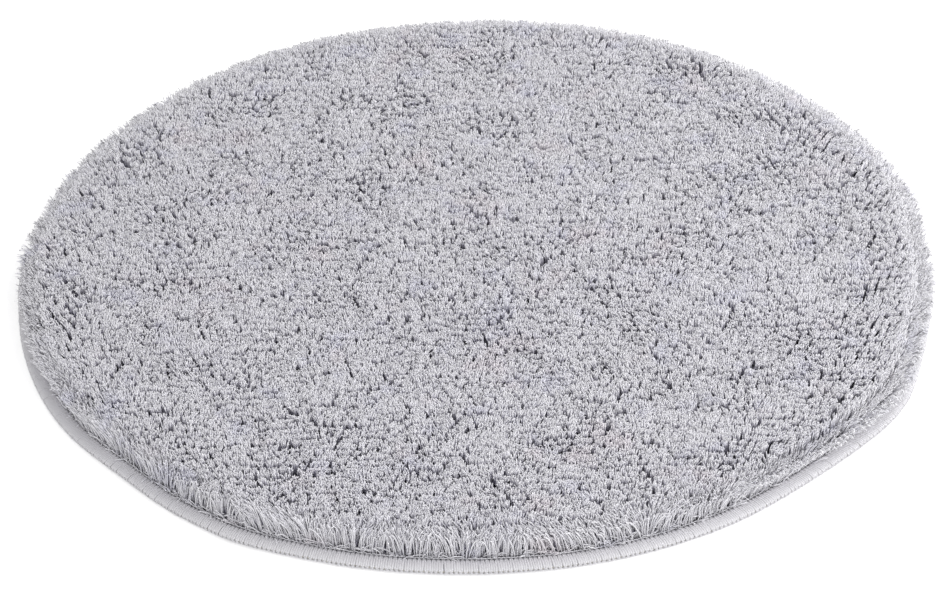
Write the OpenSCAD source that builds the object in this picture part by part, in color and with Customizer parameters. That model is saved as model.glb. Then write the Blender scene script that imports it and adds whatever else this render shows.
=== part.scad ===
// Round tufted bath mat with an overlocked edge.
// It lies flat, with its coat on the ground at z = 0 and its centre on the Z axis.

/* [Mat] */
// Diameter over the border
mat_d = 600; // [450:5:900]
// Height of the pile above the cloth
pile_h = 22; // [12:1:35]

/* [Ground layers] */
// Thickness of the woven base cloth
cloth_t = 1; // [0.6:0.1:2]
// Thickness of the latex coat under the field
coat_t = 2.2; // [2:0.1:4]

/* [Border] */
// Width of the overlocked border, seen from above
border_w = 10; // [7:0.5:16]
// Thickness of the looped threads over and under the cloth
thread_t = 1.2; // [0.8:0.1:1.6]
// Diameter of the needle thread
needle_thread_d = 0.7; // [0.4:0.1:1]

/* [Pile] */
// Distance between the rows of tufts, which is the gauge of the machine
row_gauge = 5; // [4:0.5:8]
// Open gap between one row and the next
row_gap = 0.4; // [0.3:0.1:0.8]
// Distance between the rim tufts, round the edge
rim_pitch = 10; // [8:0.5:14]
// Open gap between the roots of two rim tufts
rim_root_gap = 3; // [2:0.5:4]
// Open gap between the tips of two rim tufts, at the pitch of their roots
rim_tip_gap = 1; // [0.5:0.25:2]
// Lean of the rim tufts from upright, in degrees
rim_lean = 24; // [10:1:30]
// How far the tips of the rim tufts stay below the top of the field
rim_drop = 2; // [1:0.5:5]
// Depth of the outer band of the field in which the rows begin to lean out too
splay_band = 40; // [20:5:80]
// Open gap between the pile and what it stands beside
pile_clear = 0.4; // [0.3:0.1:1]

/* [Hidden] */

$fn = 96;
// Clear distance past a cut face
past = 1;

// Levels, from the ground up
coat_top = coat_t;
cloth_top = coat_top + cloth_t;
border_top = cloth_top + thread_t;
pile_top = cloth_top + pile_h;
edge_level = (thread_t + cloth_top) / 2;

// Border, from the outside in
mat_r = mat_d / 2;
cloth_r = mat_r - thread_t;
seam_r = mat_r - border_w;
needle_line_r = seam_r + needle_thread_d / 2;
needle_line_z = border_top + needle_thread_d / 2;

// Rim tufts: slender cones that lean out over the border and clear its inner edge
rim_root_r = (rim_pitch - rim_root_gap) / 2;
rim_tip_r = (rim_pitch - rim_tip_gap) / 2;
rim_len = (pile_h - rim_drop - rim_tip_r * sin(rim_lean)) / cos(rim_lean);
rim_flare = atan((rim_tip_r - rim_root_r) / rim_len);
rim_outer_rise = (border_top + needle_thread_d - cloth_top) * tan(rim_lean + rim_flare);
rim_half_depth = rim_root_r / cos(rim_lean + rim_flare);
rim_ring_r = seam_r - pile_clear - rim_outer_rise - rim_half_depth;
rim_count = floor(360 / (2 * asin(rim_pitch / 2 / rim_ring_r)));

// Field of straight rows: its outline leans out with the inner side of the rim tufts
row_shoulder = (row_gauge - row_gap) / 4;
field_r = rim_ring_r - rim_half_depth - pile_clear;
field_splay = pile_h * tan(rim_lean - rim_flare);
field_top_r = field_r + field_splay;
row_count = floor(2 * (field_r - past) / row_gauge);

// Where a point of the field ends up at the top of the pile, measured from the middle
function splayed(y) =
    y + sign(y) * field_splay * max(0, abs(y) - (field_r - splay_band)) / splay_band;

// Disc of the woven cloth that carries the tufts
module base_cloth() {
    color([0.84, 0.84, 0.86])
        translate([0, 0, coat_top])
            cylinder(r = cloth_r, h = cloth_t);
}

// Coat that grips the floor: full depth under the field, pressed thin inside the border
module latex_coat() {
    color([0.90, 0.89, 0.86])
        rotate_extrude()
            polygon([
                [0, 0],
                [seam_r - pile_clear, 0],
                [seam_r - pile_clear, thread_t],
                [cloth_r, thread_t],
                [cloth_r, coat_top],
                [0, coat_top]
            ]);
}

// One straight row of tufts: a bar along X, rooted between near and far, with its upper edges
// cut back. Near the rim its top leans out.
module row_bar(near, far, length) {
    near_top = splayed(near) + row_gap / 2;
    far_top = splayed(far) - row_gap / 2;
    near_root = near + row_gap / 2;
    far_root = far - row_gap / 2;
    up = (pile_h - row_shoulder) / pile_h;
    rotate([90, 0, 90])
        linear_extrude(height = length, center = true)
            polygon([
                [near_root, 0],
                [far_root, 0],
                [far_root + up * (far_top - far_root), pile_h - row_shoulder],
                [far_top - row_shoulder, pile_h],
                [near_top + row_shoulder, pile_h],
                [near_root + up * (near_top - near_root), pile_h - row_shoulder]
            ]);
}

// All rows of the field, each a solid of its own, ended by the leaning outline
module tuft_rows() {
    color([0.80, 0.80, 0.84])
        translate([0, 0, cloth_top])
            for (i = [0 : row_count - 1])
                let (near = (i - row_count / 2) * row_gauge)
                    intersection() {
                        row_bar(near, near + row_gauge, 2 * (field_top_r + past));
                        cylinder(r1 = field_r, r2 = field_top_r, h = pile_h);
                    }
}

// One rim tuft, rooted at the origin and leaning towards +X
module rim_tuft() {
    root_below = rim_root_r * tan(rim_lean) + past;
    extended_r = rim_root_r - root_below * tan(rim_flare);
    difference() {
        rotate([0, rim_lean, 0])
            translate([0, 0, -root_below])
                cylinder(r1 = extended_r, r2 = rim_tip_r, h = rim_len + root_below);
        translate([-rim_pitch, -rim_pitch, -rim_pitch])
            cube([2 * rim_pitch, 2 * rim_pitch, rim_pitch]);
    }
}

// Ring of rim tufts inside the border
module rim_tufts() {
    color([0.82, 0.82, 0.85])
        for (i = [0 : rim_count - 1])
            rotate([0, 0, i * 360 / rim_count])
                translate([rim_ring_r, 0, cloth_top])
                    rim_tuft();
}

// Cross-section of a looped thread on one side of the cloth, from its inner edge round the rim
module looped_half(face_z, outer_z) {
    polygon([
        [seam_r, face_z],
        [cloth_r, face_z],
        [cloth_r, edge_level],
        [mat_r, edge_level],
        [mat_r, (edge_level + outer_z) / 2],
        [cloth_r, outer_z],
        [seam_r, outer_z]
    ]);
}

// Upper looper thread: over the cloth and halfway down its edge
module overlock_upper_thread() {
    color([0.72, 0.72, 0.75])
        rotate_extrude()
            looped_half(cloth_top, border_top);
}

// Lower looper thread: under the pressed coat and halfway up the edge
module overlock_lower_thread() {
    color([0.70, 0.70, 0.73])
        rotate_extrude()
            looped_half(thread_t, 0);
}

// Needle thread: the line that holds the border down along its inner edge
module overlock_needle_thread() {
    color([0.76, 0.76, 0.79])
        translate([0, 0, needle_line_z])
            rotate_extrude()
                translate([needle_line_r, 0])
                    circle(d = needle_thread_d);
}

base_cloth();
latex_coat();
tuft_rows();
rim_tufts();
overlock_upper_thread();
overlock_lower_thread();
overlock_needle_thread();
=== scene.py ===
"""Round tufted bath mat: its cut pile, its overlocked border, its cloth and its coat."""

import math

import bpy
import numpy as np
from mathutils import Matrix, Vector


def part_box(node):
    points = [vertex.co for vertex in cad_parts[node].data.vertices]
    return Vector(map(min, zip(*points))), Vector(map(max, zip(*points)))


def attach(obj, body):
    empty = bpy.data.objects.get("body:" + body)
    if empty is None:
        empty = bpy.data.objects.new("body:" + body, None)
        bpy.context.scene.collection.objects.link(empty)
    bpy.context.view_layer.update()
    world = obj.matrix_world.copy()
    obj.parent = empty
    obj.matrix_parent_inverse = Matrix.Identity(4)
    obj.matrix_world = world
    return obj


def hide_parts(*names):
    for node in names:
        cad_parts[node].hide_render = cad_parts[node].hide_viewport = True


bl_info = {
    "name": "Round Bath Mat",
    "version": (1, 0, 0),
    "blender": (4, 5, 0),
    "location": "View3D > Sidebar > Bath Mat",
    "description": "Builds a round tufted bath mat around its packed construction",
    "category": "Add Mesh",
}

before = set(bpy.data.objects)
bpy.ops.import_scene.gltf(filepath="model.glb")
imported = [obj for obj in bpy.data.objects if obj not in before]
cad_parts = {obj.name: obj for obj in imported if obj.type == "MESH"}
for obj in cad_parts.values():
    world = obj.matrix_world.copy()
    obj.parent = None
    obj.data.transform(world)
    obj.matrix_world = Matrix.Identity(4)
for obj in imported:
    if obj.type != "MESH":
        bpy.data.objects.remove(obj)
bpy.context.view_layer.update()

BODY = "root"
MM = 0.001


def reach(node):
    """Outer radius, lowest level and highest level of a round node, in metres."""
    low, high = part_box(node)
    return (high.x - low.x) / 2, low.z, high.z


MAT_R, GROUND, EDGE_LEVEL = reach("overlock_lower_thread")
CLOTH_R, CLOTH_LOW, CLOTH_TOP = reach("base_cloth")
NEEDLE_R, BORDER_TOP, NEEDLE_TOP = reach("overlock_needle_thread")
PILE_H = reach("tuft_rows")[2] - CLOTH_TOP
THREAD_DEPTH = BORDER_TOP - CLOTH_TOP
NEEDLE_D = NEEDLE_TOP - BORDER_TOP
SEAM_R = NEEDLE_R - NEEDLE_D

# Seeds of the random draws. A seed that is counted up from is followed by a gap.
LEAN_SEED, LOCK_SEED, PLACES_SEED, HEIGHT_SEED, ROUGH_SEED = 11, 13, 21, 31, 33
TINT_SEED, RIM_LOCK_SEED, RIM_SWEEP_SEED = 41, 51, 52
UPPER_SEED, LOWER_SEED, NEEDLE_SEED = 61, 62, 63
FIELD_SEED, RIM_SEED, FIELD_CRIMP_SEED, RIM_CRIMP_SEED = 100, 200, 300, 400


# ---- noise, steps and turns ----


def soft_noise(x, y, cell, seed):
    """Smooth noise from -1 to 1 over the plane, with features about one cell across."""
    size = 64
    lattice = np.random.default_rng(seed).uniform(-1, 1, (size, size))
    u, v = np.asarray(x) / cell + size / 2, np.asarray(y) / cell + size / 2
    i, j = np.floor(u).astype(int), np.floor(v).astype(int)
    fu, fv = u - i, v - j
    fu, fv = fu * fu * (3 - 2 * fu), fv * fv * (3 - 2 * fv)
    low = lattice[i % size, j % size] * (1 - fu) + lattice[(i + 1) % size, j % size] * fu
    high = lattice[i % size, (j + 1) % size] * (1 - fu)
    high = high + lattice[(i + 1) % size, (j + 1) % size] * fu
    return low * (1 - fv) + high * fv


def patchy(x, y, patches, seed):
    """Noise of several sizes added up. Each patch is a size in metres and a share."""
    return sum(share * soft_noise(x, y, cell, seed + k) for k, (cell, share) in enumerate(patches))


def smooth_step(value, start, end):
    """0 before start, 1 after end, and a smooth rise between them."""
    t = np.clip((value - start) / (end - start), 0, 1)
    return t * t * (3 - 2 * t)


def turn_from(turn, middle):
    """How far one direction lies from another, from minus to plus half a turn, in radians."""
    return (turn - middle + np.pi) % (2 * np.pi) - np.pi


def round_points(turn, radius, level):
    """Points in given directions from the mat's middle, at given distances and levels."""
    return np.stack([radius * np.cos(turn), radius * np.sin(turn), level + 0 * turn], -1)


def unit(vectors):
    """Vectors scaled to length 1."""
    return vectors / np.maximum(np.linalg.norm(vectors, axis=-1, keepdims=True), 1e-12)


# Places where the edge of the mat doesn't lie quite flat: direction in degrees,
# half-width in degrees, lift and outward push in metres.
SWELLS = (
    (-50, 8, 0.0004, -0.0014),
    (-32, 8, 0.0028, 0.0064),
    (-13, 8, 0.0026, -0.0010),
    (0, 6, 0.0000, -0.0030),
    (9, 16, 0.0014, 0.0016),
    (62, 20, 0.0012, -0.0010),
    (118, 22, 0.0016, -0.0010),
    (178, 6, 0.0010, 0.0020),
    (-138, 8, 0.0004, -0.0034),
    (-119, 5, 0.0006, 0.0022),
    (-94, 16, 0.0004, -0.0012),
)

# Radius at which the swells begin.
SWELLS_FROM = 0.72 * MAT_R


def laid(points):
    """Points of the flat mat, moved to where they are when it lies relaxed on the floor."""
    points = np.array(points, float)
    radius = np.hypot(points[..., 0], points[..., 1])
    turn = np.arctan2(points[..., 1], points[..., 0])
    lift, push = np.zeros_like(radius), np.zeros_like(radius)
    for direction, half_width, up, out in SWELLS:
        away = turn_from(turn, math.radians(direction))
        bell = np.exp(-((away / math.radians(half_width)) ** 2))
        lift += up * bell
        push += out * bell
    near_edge = smooth_step(radius, SWELLS_FROM, MAT_R) ** 2
    points[..., 2] += near_edge * lift
    scale = 1 + near_edge * push / np.maximum(radius, MM)
    points[..., 0] *= scale
    points[..., 1] *= scale
    return points


# ---- meshes ----


def mesh_from_arrays(name, points, faces, uv=None, numbers=None):
    """A mesh object from arrays. faces is a list of (n, corners) index arrays, uv the map's
    coordinates for each corner in the same order, and numbers holds values for each point."""
    mesh = bpy.data.meshes.new(name)
    mesh.vertices.add(len(points))
    mesh.vertices.foreach_set("co", np.asarray(points, np.float32).ravel())
    corners = np.concatenate([f.ravel() for f in faces]).astype(np.int32)
    sizes = np.concatenate([np.full(len(f), f.shape[1], np.int32) for f in faces])
    mesh.loops.add(len(corners))
    mesh.loops.foreach_set("vertex_index", corners)
    mesh.polygons.add(len(sizes))
    starts = np.concatenate([[0], np.cumsum(sizes)[:-1]]).astype(np.int32)
    mesh.polygons.foreach_set("loop_start", starts)
    mesh.update(calc_edges=True)
    mesh.shade_smooth()
    if uv is not None:
        layer = mesh.uv_layers.new(name="OFBake")
        layer.data.foreach_set("uv", np.asarray(uv, np.float32).ravel())
    for key, values in (numbers or {}).items():
        attribute = mesh.attributes.new(key, "FLOAT", "POINT")
        attribute.data.foreach_set("value", np.asarray(values, np.float32).ravel())
    if mesh.validate():
        raise RuntimeError(f"{name}: the mesh had bad faces")
    piece = bpy.data.objects.new(name, mesh)
    bpy.context.scene.collection.objects.link(piece)
    return piece


def dress(piece, slot, material, *nodes):
    """Gives a finished piece its material and its body, and hides the nodes it stands for. slot is
    not used.
    """
    piece.data.materials.append(material)
    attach(piece, BODY)
    if nodes:
        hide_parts(*nodes)
    return piece


# ---- strands of pile ----

STRAND_SIDES = 3
# Turn between neighbours of a spiral that fills its disc evenly.
GOLDEN_TURN = math.pi * (3 - math.sqrt(5))
# Share of a strand's cell on the bake map that each of its ends takes up, and the cell's margin.
STRAND_ENDS, CELL_MARGIN = 0.08, 0.1
# Painted shade: share of a strand's length below which it is dark, share above which it is light,
# and how much higher it counts as being on the rim's open side.
PAINTED_SHADE_BELOW, LIGHT_ABOVE, OPEN_LIFT = 0.36, 0.78, 0.72

# Share of the length and share of the radius at each ring of a strand, below its tip.
FIELD_LEVELS = ((0.0, 0.7), (0.6, 0.95), (0.88, 0.95))
RIM_LEVELS = ((0.0, 0.75), (0.25, 0.9), (0.5, 1.0), (0.75, 1.0), (0.94, 0.75))

# Size in metres, and share, of the patches of rougher pile and of higher pile.
ROUGH_PATCHES = ((0.016, 0.65), (0.007, 0.5))
HEIGHT_PATCHES = ((0.045, 0.02), (0.009, 0.03))
# Size of the patches of one tint, and of the patches of rim that lean one way along the edge.
TINT_PATCH, RIM_SWEEP_PATCH = 0.055, 0.06
# How much shorter than its tuft a yarn end is, on average and at most.
SHORTER_BY, SHORTER_AT_MOST = 0.35 * MM, 4 * MM
# How high above the cloth the fallen strands bend over, and how high their tips lie.
FALLEN_BEND, FALLEN_TIPS = 2.4 * MM, (1.9 * MM, 9.0 * MM)
# How unevenly the rim's tips end.
RIM_UNEVEN = 0.35 * MM


def along_curve(points, t):
    """Places and directions at t on cubic curves with the four given control points."""
    first, second, third, fourth = (point[:, None] for point in points)
    back = 1 - t
    place = back**3 * first + 3 * back**2 * t * second + 3 * back * t**2 * third + t**3 * fourth
    way = back**2 * (second - first) + 2 * back * t * (third - second) + t**2 * (fourth - third)
    return place, unit(way)


def strand_map(count, share):
    """Bake-map coordinates of strands: a square cell each, with the tube unrolled in it."""
    sides, columns = STRAND_SIDES, math.ceil(math.sqrt(count))
    low, high = np.arange(sides) / sides, (np.arange(sides) + 1) / sides
    level = STRAND_ENDS + (1 - 2 * STRAND_ENDS) * share / share[-1]

    def flat_faces(*corners):
        """Coordinates of a face on each side, from each corner's place across and height."""
        return np.stack([np.stack([u, u * 0 + v], 1) for u, v in corners], 1).reshape(-1, 2)

    wall = [
        flat_faces((low, bottom), (high, bottom), (high, top), (low, top))
        for bottom, top in zip(level[:-1], level[1:])
    ]
    cap = flat_faces((low, level[-1]), (high, level[-1]), ((low + high) / 2, 1.0))
    foot = np.array([[0, 0], [0.33, 0], [0.17, 0.9 * STRAND_ENDS]])
    cell = np.stack([np.arange(count) % columns, np.arange(count) // columns], 1)[:, None]
    parts = []
    for flat in (np.concatenate(wall), np.concatenate([cap, foot])):
        inside = cell + CELL_MARGIN + (1 - 2 * CELL_MARGIN) * flat[None]
        parts.append((inside / columns).reshape(-1, 2))
    return np.concatenate(parts)


def strand_mesh(name, points, radius, tone, open_side, levels, crimp, seed):
    """One mesh of many yarn ends. Each is a three-sided tube along the cubic curve of its four
    control points, from its root to its rounded tip. open_side is 0 for a strand deep in the pile
    and 1 for one that light reaches down to its root; it lifts the painted shade that darkens each
    strand towards its root."""
    count, sides, rings = len(radius), STRAND_SIDES, len(levels)
    random = np.random.default_rng(seed)
    turn = random.uniform(0, 2 * np.pi, count)
    share, width = np.array(levels).T
    line, way = along_curve(points, share[None, :, None])
    line = line + random.normal(0, crimp, line.shape) * share[None, :, None]

    # Three points round the line at each ring, and one at the tip.
    beside = np.stack([np.cos(turn), np.sin(turn), np.zeros(count)], -1)[:, None]
    across = unit(np.cross(way, beside))
    over = np.cross(way, across)
    around = (2 * np.pi * np.arange(sides) / sides)[:, None]
    spoke = across[:, :, None] * np.cos(around) + over[:, :, None] * np.sin(around)
    walls = line[:, :, None] + spoke * (radius[:, None] * width)[:, :, None, None]
    per = rings * sides + 1
    vertices = np.concatenate([walls.reshape(count, -1, 3), points[3][:, None]], 1)

    side = np.arange(sides)
    after = (side + 1) % sides
    wall = []
    for k in range(rings - 1):
        low, high = k * sides, (k + 1) * sides
        wall.append(np.stack([low + side, low + after, high + after, high + side], 1))
    last = (rings - 1) * sides
    cap = np.stack([last + side, last + after, np.full(sides, per - 1)], 1)
    ends = np.concatenate([cap, side[::-1][None]])
    start = (np.arange(count) * per)[:, None, None]
    faces = [(start + np.concatenate(wall)).reshape(-1, 4), (start + ends).reshape(-1, 3)]

    # Painted shade: each strand darkens towards its root, and the rim's open side is painted lighter
    # lower down.
    height = np.append(np.repeat(share, sides), 1.0)
    height = height[None] + OPEN_LIFT * open_side[:, None]
    light = smooth_step(height, PAINTED_SHADE_BELOW, LIGHT_ABOVE)
    numbers = {"strand_light": light, "strand_tone": np.repeat(tone, per)}
    vertices = laid(vertices.reshape(-1, 3))
    return mesh_from_arrays(name, vertices, faces, strand_map(count, share), numbers)


def drift(x, y, settings):
    """How far the pile leans at a place, in metres at the tips, along X and along Y."""
    amounts = []
    for axis in (0, 1):
        broad = soft_noise(x, y, settings.lean_patch, LEAN_SEED + axis) * settings.lean
        lock = soft_noise(x, y, settings.lock_size, LOCK_SEED + axis) * settings.lock
        amounts.append(broad + lock)
    return np.stack(amounts, 1)


def roughness(x, y):
    """How rough the pile is at a place: below 0 its pads close up, and above 0 they part. It is
    a little smoother towards the front."""
    return patchy(x, y, ROUGH_PATCHES, ROUGH_SEED) - 0.2 * smooth_step(-y, 0.0, 0.7 * MAT_R)


def upright_share(x, y, settings):
    """1 where the rim stands straight up, falling to 0 where it leans out over the border."""
    away = turn_from(np.arctan2(y, x), settings.upright_at)
    return np.exp(-((away / settings.upright_over) ** 4))


def at_level(plan, level):
    """Points at a level above the cloth."""
    return np.concatenate([plan, (CLOTH_TOP + level)[:, None]], 1)


def drawn_in(plan, limit):
    """Points drawn in to no more than a limit from the mat's middle."""
    return plan * np.minimum(limit / np.linalg.norm(plan, axis=1), 1)[:, None]


def yarn_tone(x, y, random):
    """Where each strand stands between the pile's cool and pale tints."""
    patch = 0.5 + 0.5 * soft_noise(x, y, TINT_PATCH, TINT_SEED)
    return 0.55 * random.uniform(0, 1, len(x)) + 0.45 * patch


def field_tufts(settings):
    """Places of the field's tufts in straight rows, the row of each, and how many rows there are."""
    root_r = SEAM_R - settings.rim_depth
    gauge, stitch = settings.row_gauge, settings.tuft_stitch
    rows, across = int(2 * root_r / gauge), int(2 * root_r / stitch) + 1
    row, at = np.meshgrid(np.arange(rows), np.arange(across), indexing="ij")
    random = np.random.default_rng(PLACES_SEED)
    x = (at - (across - 1) / 2 + 0.5 * (row % 2)) * stitch
    y = (row - (rows - 1) / 2) * gauge
    x = x + random.normal(0, settings.unevenness * stitch, x.shape)
    y = y + random.normal(0, settings.unevenness * gauge, y.shape)
    inside = np.hypot(x, y) < root_r
    return np.stack([x[inside], y[inside]], 1), row[inside], rows


def field_strands(tufts, settings, seed):
    """Curves, radii, tones and openness of the strands of the field's tufts. Each tuft blooms from
    its root into a rounded pad, and the ends at the pad's edge curl over."""
    random = np.random.default_rng(seed)
    each, number = settings.ends_in_tuft, len(tufts)
    count = number * each
    x, y = tufts.T

    # The pads are smaller and the ends looser where the pile is rough.
    rough = roughness(x, y)
    parted = np.maximum(rough - 0.15, 0)
    pad = settings.bloom * (1.06 - 0.2 * rough - 0.45 * parted + random.normal(0, 0.06, number))
    loose = np.clip(0.85 + 0.6 * rough, 0.35, 1.4)
    top = PILE_H * (0.95 + patchy(x, y, HEIGHT_PATCHES, HEIGHT_SEED))
    top = top + random.normal(0, settings.step, number) * loose

    # The outermost tufts lean out with the rim, except where it stands up.
    rim_r = SEAM_R - settings.rim_depth
    near_rim = smooth_step(np.hypot(x, y), rim_r - 3.5 * settings.rim_depth, rim_r)
    near_rim *= 1 - 0.9 * upright_share(x, y, settings)
    out = tufts / np.maximum(np.hypot(x, y), MM)[:, None]
    shift = drift(x, y, settings) + out * (near_rim * settings.rim_lean)[:, None]
    flop = random.normal(0, settings.curl, (number, 2)) * loose[:, None]
    start, tone = random.uniform(0, 2 * np.pi, number), yarn_tone(x, y, random)
    per_tuft = (tufts, pad, top, shift, flop, start, tone, loose)
    tufts, pad, top, shift, flop, start, tone, loose = (np.repeat(v, each, 0) for v in per_tuft)

    # The ends of a tuft fill its pad evenly, and droop towards the pad's edge.
    turn_of = np.tile(np.arange(each), number)
    spread = np.sqrt((turn_of + random.uniform(0, 1, count)) / each)
    angle = start + turn_of * GOLDEN_TURN + random.normal(0, 0.35, count)
    radial = np.stack([np.cos(angle), np.sin(angle)], 1) * (pad * spread)[:, None]
    stray = flop + random.normal(0, settings.stray, (count, 2)) * loose[:, None]
    top = top - loose * random.exponential(SHORTER_BY, count).clip(0, SHORTER_AT_MOST)
    droop = settings.droop * loose * spread**2 * random.uniform(0.6, 1.4, count)

    # Control points of each strand's curve.
    root = at_level(tufts + 0.35 * radial, np.zeros(count))
    stem = at_level(tufts + 0.35 * radial + 0.25 * shift, 0.45 * top)
    shoulder = at_level(tufts + 0.9 * radial + shift - 0.5 * stray, 1.06 * top - 0.2 * droop)
    tip = at_level(tufts + 1.12 * radial + shift + stray, top - droop)
    radius = settings.strand_width / 2 * random.uniform(0.85, 1.12, count)
    tone = 0.7 * tone + 0.3 * random.uniform(0, 1, count)
    return (root, stem, shoulder, tip), radius, tone, np.zeros(count)


def rim_places(settings, random):
    """Direction and radius of each strand of the rim, and how far out its ring is, from 0 to 1."""
    each, rings = settings.ends_in_rim_tuft, settings.rim_rings
    turns, radii, rows = [], [], []
    for ring in range(rings):
        radius = SEAM_R - settings.rim_depth * (1 - (ring + 0.5) / rings)
        tufts = round(2 * np.pi * radius / settings.rim_stitch)
        turn = np.arange(tufts) + 0.5 * (ring % 2) + random.normal(0, 0.12, tufts)
        turns.append(np.repeat(turn * 2 * np.pi / tufts, each))
        radii.append(np.full(tufts * each, radius))
        rows.append(np.full(tufts * each, (ring + 0.5) / rings))
    turn, radius, outer = (np.concatenate(part) for part in (turns, radii, rows))
    return turn % (2 * np.pi), radius, outer


def rim_strands(settings, seed):
    """Curves, radii, tones and openness of the strands that stand round the rim, and the direction
    in which each stands."""
    random = np.random.default_rng(seed)
    turn, radius, outer = rim_places(settings, random)
    count = len(turn)

    def vary(start, end):
        return random.uniform(start, end, count)

    out = np.stack([np.cos(turn), np.sin(turn)], 1)
    along = np.stack([-np.sin(turn), np.cos(turn)], 1)
    x, y = (radius[:, None] * out).T

    lock = soft_noise(x, y, 1.4 * settings.lock_size, RIM_LOCK_SEED)
    sweep = 0.5 * soft_noise(x, y, RIM_SWEEP_PATCH, RIM_SWEEP_SEED) + 0.6 * lock
    upright = upright_share(x, y, settings)
    combed = np.exp(-((turn_from(turn, settings.combed_at) / settings.combed_over) ** 2))
    calm = 1 - 0.8 * combed
    fallen = (vary(0, 1) < settings.fallen + 0.1 * combed) & (outer > 1 - 1 / settings.rim_rings)

    # Length of each strand, how far it tilts outward and how far it swings along the edge.
    length = PILE_H * vary(0.94 - 0.2 * upright, 1.01) * (1 - 0.06 * outer)
    tilt = settings.rim_tilt * (0.2 + outer) * (1 - 0.95 * upright) + random.normal(0, 0.07, count)
    tilt += settings.combed_tilt * combed * outer
    tilt = np.where(fallen, vary(0.1, 0.7), tilt)
    swing = calm * (settings.rim_sweep * sweep + random.normal(0, 0.15, count))
    aside = random.choice([-1.0, 1.0], count) * vary(0.0, 1.45)
    swing = np.where(fallen, (1 - 0.4 * combed) * aside, swing)

    # How far its tip goes over the floor, and how high it stands.
    plan = np.sin(tilt)[:, None] * out * np.cos(swing)[:, None] + np.sin(swing)[:, None] * along
    plan = plan * (length * np.where(fallen, vary(0.2, 0.65), 1.0))[:, None]
    past = (plan * out).sum(1) - (settings.rim_reach - radius)
    plan -= out * np.maximum(past, 0)[:, None]
    rise = length * np.cos(tilt) * np.cos(0.6 * swing)
    rise = np.where(fallen, vary(*FALLEN_TIPS), rise)
    splay = random.normal(0, settings.bloom * 0.3, (count, 2)) * calm[:, None]
    stray = random.normal(0, 0.5 * settings.stray, (count, 2)) * calm[:, None]

    # Control points of its curve: it goes up from its root and bulges outward before its tip hangs.
    base = radius[:, None] * out + random.normal(0, 0.25 * settings.rim_stitch, (count, 2))
    root = at_level(base, np.zeros(count))
    bulge = ((0.5 + 0.5 * combed) * (1 - upright))[:, None]
    low = np.where(fallen, FALLEN_BEND, 0.4 * rise)
    stem = at_level(base + (0.12 + 0.4 * bulge) * plan + 0.3 * splay, low)
    hang = np.maximum(combed, 0.4 * (1 - upright)) * outer * ~fallen
    limit = settings.rim_reach + random.normal(0, RIM_UNEVEN, count)
    over = drawn_in(base + (0.55 + 0.5 * bulge) * plan + 0.8 * splay - stray, limit)
    shoulder = at_level(over, (0.88 + 0.16 * hang) * rise)
    tip = at_level(drawn_in(base + plan + splay + stray, limit), (1 - 0.5 * hang) * rise)
    width = settings.strand_width / 2 * vary(0.65, 1.05)
    tone = 0.4 * vary(0, 1) + 0.6 * yarn_tone(x, y, random)
    # How far up the painted shade is lifted: the outer rings and the combed part are painted lighter
    # near their roots.
    open_side = 1.15 * outer**1.5 + combed * (0.4 + 0.8 * outer)
    return (root, stem, shoulder, tip), width, tone, open_side, turn


# ---- threads of the border ----


def tube(name, line, radius, sides=6, flat=1.0):
    """A yarn along a closed line of points. flat is its thickness as a share of its width."""
    count = len(line)
    ahead, behind = np.roll(line, -1, 0), np.roll(line, 1, 0)
    way = unit(ahead - behind)
    out = unit(line * [1, 1, 0])
    # The flat side faces up and a little outward, which is a way that the thread never runs.
    across = unit(np.cross(way, np.array([0, 0, 1.0]) + 0.35 * out))
    over = np.cross(across, way)
    around = 2 * np.pi * np.arange(sides) / sides
    ring = across[:, None] * np.cos(around)[:, None] + over[:, None] * np.sin(around)[:, None] * flat
    points = line[:, None] + ring * radius
    here = np.arange(count)[:, None]
    there = (here + 1) % count
    side = np.arange(sides)[None]
    after = (side + 1) % sides
    quads = np.stack(
        [here * sides + side, here * sides + after, there * sides + after, there * sides + side], -1
    ).reshape(-1, 4)

    # The yarn's length is cut into strips that stand side by side on the bake map.
    strips = max(1, round(math.sqrt(count / sides)))
    per = math.ceil(count / strips)
    strip, along = np.divmod(np.arange(count), per)
    inset = 0.08
    u0 = (strip[:, None] + inset + (1 - 2 * inset) * side / sides) / strips
    u1 = (strip[:, None] + inset + (1 - 2 * inset) * (side + 1) / sides) / strips
    v0 = np.broadcast_to((along / per)[:, None], u0.shape)
    v1 = np.broadcast_to(((along + 1) / per)[:, None], u0.shape)
    uv = np.stack([np.stack([a, b], -1) for a, b in ((u0, v0), (u1, v0), (u1, v1), (u0, v1))], 2)
    twist = np.cumsum(np.linalg.norm(line - behind, axis=1))
    numbers = {
        "yarn_length": np.repeat(twist, sides),
        "yarn_around": np.tile(np.cos(around), count),
        "yarn_across": np.tile(np.sin(around), count),
    }
    return mesh_from_arrays(name, laid(points.reshape(-1, 3)), [quads], uv.reshape(-1, 2), numbers)


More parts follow.
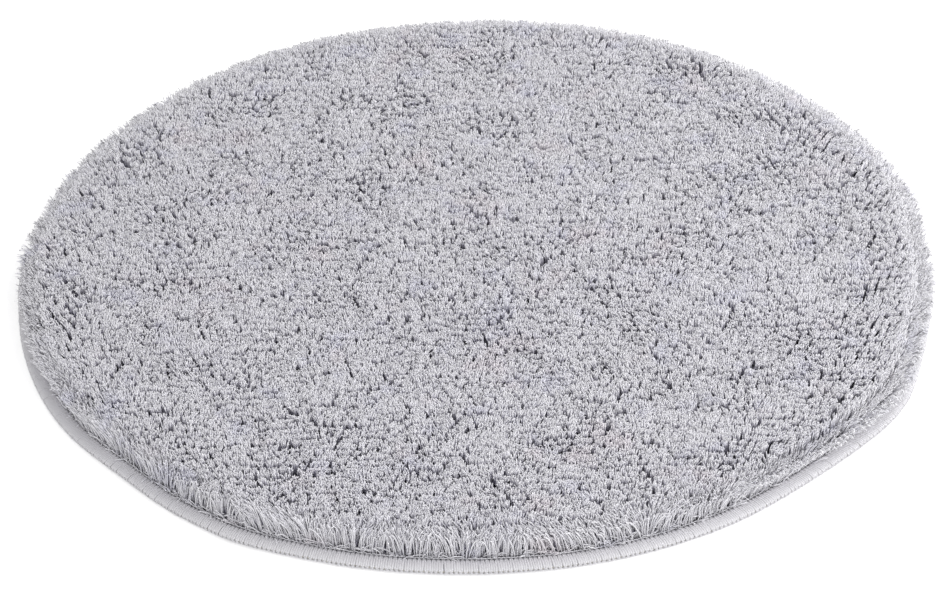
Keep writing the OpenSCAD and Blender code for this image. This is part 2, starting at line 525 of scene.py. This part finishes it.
def looper_line(settings, top):
    """Centre line of a looper thread: from one needle hole out round the edge and back to the next.
    The upper and the lower thread meet at the edge."""
    stitches = round(2 * np.pi * MAT_R / settings.stitch_pitch)
    random = np.random.default_rng(UPPER_SEED if top else LOWER_SEED)
    half = settings.looper_width / 2
    thick = half * settings.looper_flat
    side = 1 if top else -1
    face = CLOTH_TOP + thick if top else THREAD_DEPTH - thick
    proud = 0.45 * thick if top else 0.0
    hole_r, edge_r = SEAM_R + 0.3 * MM, MAT_R - thick
    lip = EDGE_LEVEL + side * 0.3 * MM
    # Share of the stitch, radius and level at each point of the way out; the way back mirrors it.
    way_out = (
        (0.00, hole_r, face - side * thick),
        (0.13, hole_r + 0.9 * MM, face + 0.4 * proud),
        (0.22, hole_r + 2.4 * MM, face + proud),
        (0.25, hole_r + 4.6 * MM, face + proud),
        (0.25, edge_r - 2.0 * MM, face + 0.5 * proud),
        (0.26, edge_r - 0.7 * MM, face - side * 0.45 * thick),
        (0.29, edge_r - 0.1 * MM, (2 * face + lip) / 3 - side * 0.2 * MM),
        (0.36, edge_r, (face + 2 * lip) / 3),
        (0.50, edge_r - 0.05 * MM, lip - side * 0.6 * MM),
    )
    way_back = [(1 - share, radius, level) for share, radius, level in way_out[-2:0:-1]]
    share, radius, level = np.array([*way_out, *way_back]).T
    radius = radius + random.normal(0, 0.10 * MM, (stitches, 1))
    level = np.maximum(level + random.normal(0, 0.04 * MM, (stitches, 1)), GROUND + thick)
    outward = (radius - SEAM_R) / (MAT_R - SEAM_R)
    slant = settings.stitch_slant / settings.stitch_pitch + random.normal(0, 0.06, (stitches, 1))
    turn = (np.arange(stitches)[:, None] + share + slant * outward) * 2 * np.pi / stitches
    return round_points(turn, radius, level).reshape(-1, 3)


def needle_line(settings):
    """Centre line of the needle thread: a stitch along the seam, then down its hole and up again."""
    stitches = round(2 * np.pi * MAT_R / settings.stitch_pitch)
    # Share of the stitch, and height in halves of the thread's width, at each of its points.
    path = ((0.0, -1.6), (0.10, -0.2), (0.25, 0.45), (0.5, 0.6), (0.75, 0.45), (0.90, -0.2))
    random = np.random.default_rng(NEEDLE_SEED)
    share, height = np.array(path).T[:, None]
    turn = (np.arange(stitches)[:, None] + share) * 2 * np.pi / stitches
    radius = SEAM_R + NEEDLE_D / 2 + random.normal(0, 0.12 * MM, (stitches, 1))
    level = BORDER_TOP + NEEDLE_D / 2 + height * NEEDLE_D / 2
    return round_points(turn, radius, level).reshape(-1, 3)


# ---- cloth and coat ----

# Rings on each face of the cloth and the coat, so that both can follow the mat's swells.
DISC_RINGS = 61


def turned_disc(name, rings, segments=240):
    """A closed round body from a list of (radius, level) rings, from the middle of its underside
    to the middle of its top. The first and last rings have radius 0 and become one point each."""
    turn = 2 * np.pi * np.arange(segments) / segments
    middle = rings[1:-1]
    start, end = (np.array([[0, 0, rings[k][1]]]) for k in (0, -1))
    points = np.concatenate([start, *(round_points(turn, *ring) for ring in middle), end])
    here = np.arange(segments)
    after = (here + 1) % segments
    quads = []
    for k in range(len(middle) - 1):
        low, high = 1 + k * segments, 1 + (k + 1) * segments
        quads.append(np.stack([low + here, low + after, high + after, high + here], 1))
    last = 1 + (len(middle) - 1) * segments
    under = np.stack([np.zeros(segments, int), 1 + after, 1 + here], 1)
    over = np.stack([last + here, last + after, np.full(segments, len(points) - 1)], 1)
    faces = [np.concatenate(quads), np.concatenate([under, over])]
    # Underside on the left half of the bake map and top on the right.
    size = max(r for r, _ in rings) * 2.05
    widest = max(range(len(middle)), key=lambda k: middle[k][0])
    is_top = np.zeros(len(points), bool)
    is_top[1 + (widest + 1) * segments :] = True
    uv = []
    for block in faces:
        corner = points[block]
        top = is_top[block].any(1)
        flat = corner[..., :2] / size * 0.5 + [0.25, 0.5]
        flat[top, :, 0] += 0.5
        uv.append(flat.reshape(-1, 2))
    return mesh_from_arrays(name, laid(points), faces, np.concatenate(uv))


# ---- materials ----


class Shader:
    """A material's node tree, written one node at a time."""

    def __init__(self, name):
        self.material = bpy.data.materials.new(name)
        self.material.use_nodes = True
        self.nodes, self.links = self.material.node_tree.nodes, self.material.node_tree.links
        self.nodes.clear()
        self.surface = self.add("ShaderNodeBsdfPrincipled")
        output = self.add("ShaderNodeOutputMaterial")
        self.links.new(self.surface.outputs[0], output.inputs["Surface"])

    def add(self, kind, inputs=None, **settings):
        """A new node. inputs maps a socket to a value, or to another node's output."""
        node = self.nodes.new(kind)
        for key, value in settings.items():
            setattr(node, key, value)
        for key, value in (inputs or {}).items():
            self.set(node.inputs[key], value)
        return node

    def set(self, socket, value):
        """Gives a socket a value, or links another node's output to it."""
        if isinstance(value, bpy.types.NodeSocket):
            self.links.new(value, socket)
        else:
            socket.default_value = value

    def attribute(self, name):
        return self.add("ShaderNodeAttribute", attribute_name=name).outputs["Fac"]

    def maths(self, operation, first, second=0.0, third=0.0):
        node = self.add("ShaderNodeMath", operation=operation)
        for socket, value in zip(node.inputs, (first, second, third)):
            self.set(socket, value)
        return node.outputs[0]

    def texture(self, kind, output, inputs, **settings):
        """A texture over the piece's own space, in metres."""
        place = self.add("ShaderNodeTexCoord").outputs["Object"]
        return self.add(kind, {"Vector": place, **inputs}, **settings).outputs[output]

    def noise(self, scale, detail):
        """Noise in which scale is features per metre."""
        return self.texture("ShaderNodeTexNoise", "Fac", {"Scale": scale, "Detail": detail})

    def waves(self, axis, scale, distortion, detail, detail_scale):
        """Bands across an axis. At scale 1 each is 2 pi / 20 of a metre wide."""
        inputs = {"Scale": scale, "Distortion": distortion, "Detail": detail}
        inputs["Detail Scale"] = detail_scale
        return self.texture("ShaderNodeTexWave", "Fac", inputs, bands_direction=axis)

    def spread(self, value, start, end, low=0.0, high=1.0):
        """A value between start and end, spread over low to high."""
        limits = {"From Min": start, "From Max": end, "To Min": low, "To Max": high}
        return self.add("ShaderNodeMapRange", {"Value": value, **limits}).outputs[0]

    def mix(self, share, first, second, blend="MIX"):
        node = self.add("ShaderNodeMix", data_type="RGBA", blend_type=blend)
        self.set(node.inputs[0], share)
        self.set(node.inputs[6], first)
        self.set(node.inputs[7], second)
        return node.outputs[2]

    def bump(self, height, distance, strength):
        """Fine relief on the surface, where height 1 is a distance in metres above 0."""
        values = {"Height": height, "Distance": distance, "Strength": strength}
        node = self.add("ShaderNodeBump", values)
        self.set(self.surface.inputs["Normal"], node.outputs[0])

    def finish(self, **values):
        """Sets the surface's sockets, named with underscores, and returns the material."""
        for key, value in values.items():
            self.set(self.surface.inputs[key.replace("_", " ")], value)
        return self.material


# Length of thread in which its twist turns once, and its plies.
TWIST_PITCH, THREAD_PLIES = 0.0016, 2.0


def opaque(colour):
    """A colour with the fourth value that sockets take."""
    return (*colour[:3], 1.0)


def pile_material(colours):
    """Soft matt yarn: painted shade darkens it deep in the pile, with cooler and rosier patches."""
    shader = Shader("pile_yarn")
    light, tone = shader.attribute("strand_light"), shader.attribute("strand_tone")
    tint = shader.mix(tone, opaque(colours.pile), opaque(colours.pile_pale))
    patches = ((38.0, 0.56, colours.pile_cool), (26.0, 0.60, colours.pile_rose))
    for scale, start, colour in patches:
        share = shader.spread(shader.noise(scale, 3.0), start, start + 0.12)
        tint = shader.mix(share, tint, opaque(colour))
    # Painted shade: the tint darkens to the pile's painted shade colour towards each strand's root.
    tint = shader.mix(light, opaque(colours.pile_painted_shade), tint)
    fleck = shader.spread(shader.noise(1500.0, 1.0), 0.3, 0.7, 0.94, 1.03)
    grey = {"Red": fleck, "Green": fleck, "Blue": fleck}
    grey = shader.add("ShaderNodeCombineColor", grey).outputs[0]
    colour = shader.mix(1.0, tint, grey, "MULTIPLY")
    shader.bump(shader.noise(2600.0, 1.0), 0.08 * MM, 0.6)
    return shader.finish(
        Base_Color=colour,
        Roughness=0.7,
        Specular_IOR_Level=0.2,
        Sheen_Weight=0.2,
        Sheen_Roughness=0.5,
        Subsurface_Weight=0.45,
        Subsurface_Radius=(1.0, 1.0, 1.0),
        Subsurface_Scale=0.0015,
    )


def thread_material(name, colour, shade_colour):
    """Twisted polyester thread: slanting plies with painted shade in the grooves, and fine fibre
    along them.
    """
    shader = Shader(name)
    length, around, across = (
        shader.attribute(key) for key in ("yarn_length", "yarn_around", "yarn_across")
    )
    turn = shader.maths("ARCTAN2", across, around)
    phase = shader.maths("MULTIPLY_ADD", length, 2 * math.pi / TWIST_PITCH, turn)
    wave = shader.maths("SINE", shader.maths("MULTIPLY", phase, THREAD_PLIES))
    ply = shader.maths("MULTIPLY_ADD", wave, 0.5, 0.5)
    fibre = shader.noise(2200.0, 2.0)
    raised = shader.maths("MULTIPLY_ADD", fibre, 0.5, shader.maths("MULTIPLY", ply, 0.7))
    wear = shader.noise(60.0, 3.0)
    base = shader.mix(wear, opaque(colour), opaque([c * 1.08 for c in colour]))
    # Painted shade: the colour darkens to the groove shade where the plies and fibres lie low.
    tint = shader.mix(shader.spread(raised, 0.1, 0.9), opaque(shade_colour), base)
    shader.bump(raised, 0.12 * MM, 0.8)
    return shader.finish(Base_Color=tint, Roughness=0.7, Specular_IOR_Level=0.3, Sheen_Weight=0.1)


def woven_material(colours):
    """Plain woven cloth: crossing threads about two millimetres apart, with painted shade on the low
    threads and random darker mottle.
    """
    shader = Shader("woven_cloth")
    weave = shader.maths("MAXIMUM", *(shader.waves(axis, 160.0, 0.6, 1.0, 3.0) for axis in "XY"))
    shade_colour = opaque(colours.cloth_shade_and_mottle)
    # Painted shade: the low threads between the raised ones are painted darker.
    colour = shader.mix(weave, shade_colour, opaque(colours.cloth))
    # Random darker mottle in the cloth's own tone, towards the same colour.
    colour = shader.mix(shader.maths("MULTIPLY", shader.noise(90.0, 3.0), 0.25), colour, shade_colour)
    shader.bump(weave, 0.3 * MM, 0.7)
    return shader.finish(Base_Color=colour, Roughness=0.85, Specular_IOR_Level=0.2)


def coat_material(colours, row_gauge):
    """Foamed latex: pale, a little glossy, with painted shade in its pores and faint yellowed
    clouds. The rows of tuft stitches show through it."""
    shader = Shader("latex")
    clouds = shader.noise(35.0, 4.0)
    colour = shader.mix(clouds, opaque(colours.coat), opaque(colours.coat_aged))
    cells = shader.texture("ShaderNodeTexVoronoi", "Distance", {"Scale": 700.0})
    pores = shader.spread(cells, 0.05, 0.35)
    # Painted shade: the colour darkens in the pores.
    pore_shade = shader.maths("MULTIPLY_ADD", pores, -0.35, 0.35)
    colour = shader.mix(pore_shade, colour, opaque(colours.coat_pore_shade))
    rows = shader.waves("Y", 2 * math.pi / 20 / row_gauge, 0.8, 2.0, 4.0)
    shader.bump(shader.maths("MULTIPLY_ADD", rows, 3.0, pores), 0.15 * MM, 0.7)
    rough = shader.spread(clouds, 0.0, 1.0, 0.5, 0.7)
    return shader.finish(Base_Color=colour, Roughness=rough, Specular_IOR_Level=0.4)


# ---- what a user may change ----


def number_property(name, description, default, **more):
    return bpy.props.FloatProperty(name=name, description=description, default=default, **more)


def length_property(name, description, default):
    return number_property(name, description, default, min=0.0, subtype="DISTANCE", unit="LENGTH")


def angle_property(name, description, degrees, **more):
    return number_property(name, description, math.radians(degrees), subtype="ANGLE", **more)


def count_property(name, description, default):
    return bpy.props.IntProperty(name=name, description=description, default=default, min=1)


def colour_property(name, description, default):
    return bpy.props.FloatVectorProperty(
        name=name, description=description, default=default, min=0, max=1, subtype="COLOR", size=3
    )


class BathMatPile(bpy.types.PropertyGroup):
    """Sizes of the pile."""

    row_gauge: length_property("Row gauge", "Distance between the rows of tufts", 0.005)
    tuft_stitch: length_property("Tuft stitch", "Distance between tufts along a row", 0.0045)
    unevenness: number_property(
        "Unevenness", "How unevenly the tufts stand, as a share of their spacing", 0.1, min=0.0
    )
    ends_in_tuft: count_property("Strands in a tuft", "Yarn ends in each tuft of the field", 17)
    bands: count_property("Bands", "Pieces that the field's rows are shared between", 23)
    strand_width: length_property("Strand width", "Width of one yarn end", 0.00094)
    crimp: length_property("Crimp", "How far a strand wanders from its smooth curve", 0.00025)
    bloom: length_property("Bloom", "Radius of the pad that a tuft opens into", 0.00225)
    curl: length_property("Curl", "How far a tuft's ends curl to one side", 0.0007)
    stray: length_property("Stray", "How far each end curls its own way", 0.0010)
    droop: length_property(
        "Droop", "How far the ends at a pad's edge hang below its middle", 0.0011
    )
    step: length_property("Step", "How unevenly high neighbouring tufts are", 0.0006)
    lean: length_property("Lean", "How far the tips lean in broad patches", 0.0033)
    lean_patch: length_property("Lean patch", "Size of the broad patches", 0.035)
    lock: length_property("Lock", "How far the tips draw together into locks", 0.0012)
    lock_size: length_property("Lock size", "Size of a lock", 0.0065)
    rim_depth: length_property("Rim depth", "Depth of the ring of rim tufts", 0.0095)
    rim_stitch: length_property("Rim stitch", "Distance between rim tufts round the edge", 0.0042)
    rim_rings: count_property("Rim rings", "Rings of rim tufts, one inside the other", 3)
    ends_in_rim_tuft: count_property("Strands in a rim tuft", "Yarn ends in each rim tuft", 17)
    rim_lean: length_property("Rim lean", "How far the field's outermost tips lean out", 0.006)
    rim_reach: length_property(
        "Rim reach", "Largest radius that a rim tip comes to", MAT_R + 0.0015
    )
    rim_tilt: angle_property("Rim tilt", "How far the rim tufts lean out", 24)
    rim_sweep: angle_property("Rim sweep", "How far locks of rim tufts lean along the edge", 38)
    upright_at: angle_property("Upright at", "Direction in which the rim stands straight up", -103)
    upright_over: angle_property(
        "Upright over", "Half-width of the part that stands up", 48, min=0.02
    )
    combed_at: angle_property("Combed at", "Direction in which the rim lies over furthest", -24)
    combed_over: angle_property(
        "Combed over", "Half-width of the part that lies over", 38, min=0.02
    )
    combed_tilt: angle_property("Combed tilt", "How much further the combed part leans out", 11)
    fallen: number_property(
        "Fallen", "Share of the outermost strands that lie along the border", 0.26, min=0.0, max=1.0
    )


class BathMatBorder(bpy.types.PropertyGroup):
    """Sizes of the overlocked border."""

    stitch_pitch: length_property("Stitch pitch", "Distance between stitches at the edge", 0.0029)
    stitch_slant: length_property("Stitch slant", "How far a stitch leans along the edge", 0.0008)
    looper_width: length_property("Looper thread", "Width of the looped threads", 0.0017)
    looper_flat: number_property(
        "Looper flatness", "Their thickness as a share of their width", 0.68, min=0.1, max=1.0
    )
    needle_width: length_property("Needle thread", "Width of the needle thread", NEEDLE_D)


class BathMatColours(bpy.types.PropertyGroup):
    """Colours of the mat."""

    pile: colour_property("Pile", "Tint of the pile", (0.89, 0.88, 0.94))
    pile_pale: colour_property("Pile, pale", "Paler tint of the pile", (0.915, 0.905, 0.94))
    pile_cool: colour_property("Pile, cool", "Cool tint in patches", (0.85, 0.845, 0.935))
    pile_rose: colour_property("Pile, rose", "Rosy tint in patches", (0.91, 0.865, 0.91))
    # Painted shade that the pile's tint darkens to near the strands' roots.
    pile_painted_shade: colour_property("Pile, deep", "Pile near its roots", (0.12, 0.10, 0.25))
    thread: colour_property("Looper threads", "Face of the looped threads", (0.73, 0.72, 0.745))
    # Painted shade in the grooves between the threads' plies.
    thread_groove_shade: colour_property("Thread grooves", "Grooves of the threads", (0.56, 0.555, 0.58))
    needle: colour_property("Needle thread", "Face of the needle thread", (0.72, 0.715, 0.75))
    cloth: colour_property("Cloth", "Raised threads of the base cloth", (0.64, 0.63, 0.67))
    # Painted shade on the low threads of the weave, also used for the cloth's random darker mottle.
    cloth_shade_and_mottle: colour_property("Cloth, low", "Low threads of the base cloth", (0.44, 0.43, 0.47))
    coat: colour_property("Coat", "Latex coat", (0.74, 0.72, 0.66))
    coat_aged: colour_property("Coat, aged", "Yellowed clouds in the coat", (0.66, 0.62, 0.53))
    # Painted shade in the coat's pores.
    coat_pore_shade: colour_property("Coat, pores", "Pores in the coat", (0.40, 0.38, 0.33))
    floor: colour_property("Floor", "Floor and backdrop", (0.88, 0.88, 0.88))


class BathMatStage(bpy.types.PropertyGroup):
    """Camera and lights."""

    elevation: angle_property("Elevation", "Camera's angle above the floor", 35.65)
    distance: length_property("Distance", "Camera's distance from the mat's middle", 1.907)
    roll: angle_property("Roll", "Camera's turn about its view", -1.77)
    lens: number_property("Lens", "Focal length in millimetres on a 36 mm sensor", 109.1, min=10.0)
    aim: bpy.props.FloatVectorProperty(
        name="Aim",
        description="Point of the floor that the camera looks at",
        default=(-0.0005, -0.0281, 0.0),
        subtype="XYZ",
        unit="LENGTH",
    )
    sky: number_property("Sky", "Strength of the soft light all round", 0.73, min=0.0)
    key: number_property("Key", "Power of the main lamp in watts", 24.0, min=0.0)
    fill: number_property("Fill", "Power of the second lamp in watts", 14.0, min=0.0)


def settings_of(name):
    """The scene's settings of one group."""
    return getattr(bpy.context.scene, name)


# ---- operators ----


class BATHMAT_OT_field(bpy.types.Operator):
    """Builds the field of straight tuft rows, in bands of neighbouring rows"""

    bl_idname = "bath_mat.field"
    bl_label = "Pile Field"

    def execute(self, context):
        settings = settings_of("bath_mat_pile")
        material = pile_material(settings_of("bath_mat_colours"))
        tufts, row, rows = field_tufts(settings)
        for band in range(settings.bands):
            here = row * settings.bands // rows == band
            strands = field_strands(tufts[here], settings, FIELD_SEED + band)
            name, seed = f"pile_rows_{band + 1:02d}", FIELD_CRIMP_SEED + band
            piece = strand_mesh(name, *strands, FIELD_LEVELS, settings.crimp, seed)
            dress(piece, "pile", material, "tuft_rows")
        return {"FINISHED"}


class BATHMAT_OT_rim(bpy.types.Operator):
    """Builds the tufts that stand round the rim and splay out over the border"""

    bl_idname = "bath_mat.rim"
    bl_label = "Rim Tufts"

    def execute(self, context):
        material = bpy.data.materials.get("pile_yarn")
        if material is None:
            raise RuntimeError("build the pile field first: the rim takes its yarn from it")
        settings = settings_of("bath_mat_pile")
        points, *rest, turn = rim_strands(settings, RIM_SEED)
        names = ("right_back", "left_back", "left_front", "right_front")
        for quarter, name in enumerate(names):
            here = (turn * 2 / np.pi).astype(int) % 4 == quarter
            curves = tuple(point[here] for point in points)
            numbers = (values[here] for values in rest)
            name, seed = f"rim_tufts_{name}", RIM_CRIMP_SEED + quarter
            piece = strand_mesh(name, curves, *numbers, RIM_LEVELS, settings.crimp, seed)
            dress(piece, "pile", material, "rim_tufts")
        return {"FINISHED"}


class BATHMAT_OT_border(bpy.types.Operator):
    """Builds the three threads of the overlocked border, stitch by stitch"""

    bl_idname = "bath_mat.border"
    bl_label = "Overlocked Border"

    def execute(self, context):
        settings, colours = settings_of("bath_mat_border"), settings_of("bath_mat_colours")
        looper = thread_material("looper_thread", colours.thread, colours.thread_groove_shade)
        needle = thread_material("needle_thread", colours.needle, colours.thread_groove_shade)
        half, flat = settings.looper_width / 2, settings.looper_flat
        for name in ("upper", "lower"):
            line = looper_line(settings, name == "upper")
            thread = tube(f"{name}_looper_thread", line, half, flat=flat)
            dress(thread, "thread", looper, f"overlock_{name}_thread")
        seam = tube("needle_thread", needle_line(settings), settings.needle_width / 2)
        dress(seam, "thread", needle, "overlock_needle_thread")
        return {"FINISHED"}


class BATHMAT_OT_cloth(bpy.types.Operator):
    """Builds the woven base cloth"""

    bl_idname = "bath_mat.cloth"
    bl_label = "Base Cloth"

    def execute(self, context):
        edge = 0.25 * MM
        radii = list(np.linspace(0, CLOTH_R - edge, DISC_RINGS))
        rings = [(r, CLOTH_LOW) for r in radii]
        rings += [(CLOTH_R, CLOTH_LOW + edge), (CLOTH_R, CLOTH_TOP - edge)]
        rings += [(r, CLOTH_TOP) for r in reversed(radii)]
        cloth = turned_disc("woven_base_cloth", rings)
        dress(cloth, "cloth", woven_material(settings_of("bath_mat_colours")), "base_cloth")
        return {"FINISHED"}


class BATHMAT_OT_coat(bpy.types.Operator):
    """Builds the latex coat under the cloth"""

    bl_idname = "bath_mat.coat"
    bl_label = "Latex Coat"

    def execute(self, context):
        step, edge = SEAM_R - 0.4 * MM, 0.3 * MM
        radii = list(np.linspace(0, step - edge, DISC_RINGS))
        rings = [(r, GROUND) for r in radii]
        rings += [(step, GROUND + edge), (step, THREAD_DEPTH)]
        rings += [(CLOTH_R, THREAD_DEPTH), (CLOTH_R, CLOTH_LOW)]
        rings += [(r, CLOTH_LOW) for r in reversed(radii)]
        coat = turned_disc("latex_coat_foam", rings)
        row_gauge = settings_of("bath_mat_pile").row_gauge
        material = coat_material(settings_of("bath_mat_colours"), row_gauge)
        dress(coat, "coat", material, "latex_coat")
        return {"FINISHED"}


# The floor lies just under the mat, so that the two don't coincide. Its glow brings it up to white
# where it is seen, and casts no diffuse light.
FLOOR_LEVEL, FLOOR_HALF, FLOOR_GLOW = -0.1 * MM, 6.0, 0.38
# Place of each lamp, and the width of its face.
KEY_AT, KEY_SIZE = Vector((1.35, 0.05, 0.95)), 2.4
FILL_AT, FILL_SIZE = Vector((0.5, -2.2, 1.2)), 1.8


class BATHMAT_OT_stage(bpy.types.Operator):
    """Builds the floor, the lights and the camera"""

    bl_idname = "bath_mat.stage"
    bl_label = "Stage"

    def execute(self, context):
        stage, scene = settings_of("bath_mat_stage"), context.scene
        scene.view_settings.view_transform = "Standard"
        self.floor(settings_of("bath_mat_colours").floor)
        self.world(scene, stage.sky)
        self.lamp("key_lamp", KEY_AT, KEY_SIZE, stage.key)
        self.lamp("fill_lamp", FILL_AT, FILL_SIZE, stage.fill)
        self.camera(scene, stage)
        return {"FINISHED"}

    def floor(self, colour):
        points = FLOOR_HALF * np.array([(-1, -1, 0), (1, -1, 0), (1, 1, 0), (-1, 1, 0)])
        floor = mesh_from_arrays("floor", points, [np.array([[0, 1, 2, 3]])])
        floor.data.materials.append(self.floor_material(colour))
        floor.location.z = FLOOR_LEVEL

    def floor_material(self, colour):
        """Pale floor that keeps the mat's shadow and is seen as plain white."""
        shader = Shader("studio_floor")
        path = shader.add("ShaderNodeLightPath")
        seen = shader.maths("MAXIMUM", path.outputs["Is Camera Ray"], path.outputs["Is Glossy Ray"])
        seen = shader.maths("MAXIMUM", seen, path.outputs["Is Transmission Ray"])
        return shader.finish(
            Base_Color=opaque(colour),
            Roughness=0.9,
            Specular_IOR_Level=0.0,
            Emission_Color=(1, 1, 1, 1),
            Emission_Strength=shader.maths("MULTIPLY", seen, FLOOR_GLOW),
        )

    def world(self, scene, strength):
        """Soft even light from all round, in place of which the camera sees plain white."""
        world = bpy.data.worlds.new("studio")
        world.use_nodes = True
        nodes, links = world.node_tree.nodes, world.node_tree.links
        nodes.clear()
        path, mix = nodes.new("ShaderNodeLightPath"), nodes.new("ShaderNodeMixShader")
        links.new(path.outputs["Is Camera Ray"], mix.inputs[0])
        for socket, level in zip(mix.inputs[1:], (strength, 1.0)):
            light = nodes.new("ShaderNodeBackground")
            light.inputs["Color"].default_value = (1, 1, 1, 1)
            light.inputs["Strength"].default_value = level
            links.new(light.outputs[0], socket)
        links.new(mix.outputs[0], nodes.new("ShaderNodeOutputWorld").inputs["Surface"])
        scene.world = world

    def lamp(self, name, at, size, power):
        """A round lamp, size metres across, that shines on the middle of the mat."""
        light = bpy.data.lights.new(name, "AREA")
        light.shape, light.size, light.energy = "DISK", size, power
        lamp = bpy.data.objects.new(name, light)
        lamp.location = at
        lamp.rotation_euler = (-at).to_track_quat("-Z", "Y").to_euler()
        bpy.context.scene.collection.objects.link(lamp)

    def camera(self, scene, stage):
        """A camera in front of the mat and above it, that looks at the stage's aim."""
        lens = bpy.data.cameras.new("camera")
        lens.sensor_width, lens.lens = 36.0, stage.lens
        lens.clip_start, lens.clip_end = 0.05, 50.0
        camera = bpy.data.objects.new("camera", lens)
        scene.collection.objects.link(camera)
        at = stage.distance * Vector((0, -math.cos(stage.elevation), math.sin(stage.elevation)))
        look = (Vector(stage.aim) - at).to_track_quat("-Z", "Y").to_matrix().to_4x4()
        camera.matrix_world = Matrix.Translation(at) @ look @ Matrix.Rotation(stage.roll, 4, "Z")
        scene.camera = camera


class BATHMAT_PT_panel(bpy.types.Panel):
    """Lists the mat's operators and what can be changed"""

    bl_idname = "BATHMAT_PT_panel"
    bl_label = "Round Bath Mat"
    bl_space_type = "VIEW_3D"
    bl_region_type = "UI"
    bl_category = "Bath Mat"

    def draw(self, context):
        for operator in OPERATORS:
            self.layout.operator(operator.bl_idname)
        for name, group in GROUPS.items():
            box = self.layout.box()
            for key in group.__annotations__:
                box.prop(settings_of(name), key)


GROUPS = {
    "bath_mat_pile": BathMatPile,
    "bath_mat_border": BathMatBorder,
    "bath_mat_colours": BathMatColours,
    "bath_mat_stage": BathMatStage,
}
OPERATORS = (
    BATHMAT_OT_cloth,
    BATHMAT_OT_coat,
    BATHMAT_OT_field,
    BATHMAT_OT_rim,
    BATHMAT_OT_border,
    BATHMAT_OT_stage,
)
CLASSES = (*GROUPS.values(), *OPERATORS, BATHMAT_PT_panel)


def register():
    for cls in CLASSES:
        bpy.utils.register_class(cls)
    for name, group in GROUPS.items():
        setattr(bpy.types.Scene, name, bpy.props.PointerProperty(type=group))


def unregister():
    for name in GROUPS:
        delattr(bpy.types.Scene, name)
    for cls in reversed(CLASSES):
        bpy.utils.unregister_class(cls)


def main():
    register()
    bpy.ops.bath_mat.cloth()
    bpy.ops.bath_mat.coat()
    bpy.ops.bath_mat.field()
    bpy.ops.bath_mat.rim()
    bpy.ops.bath_mat.border()
    bpy.ops.bath_mat.stage()


if __name__ == "__main__":
    main()
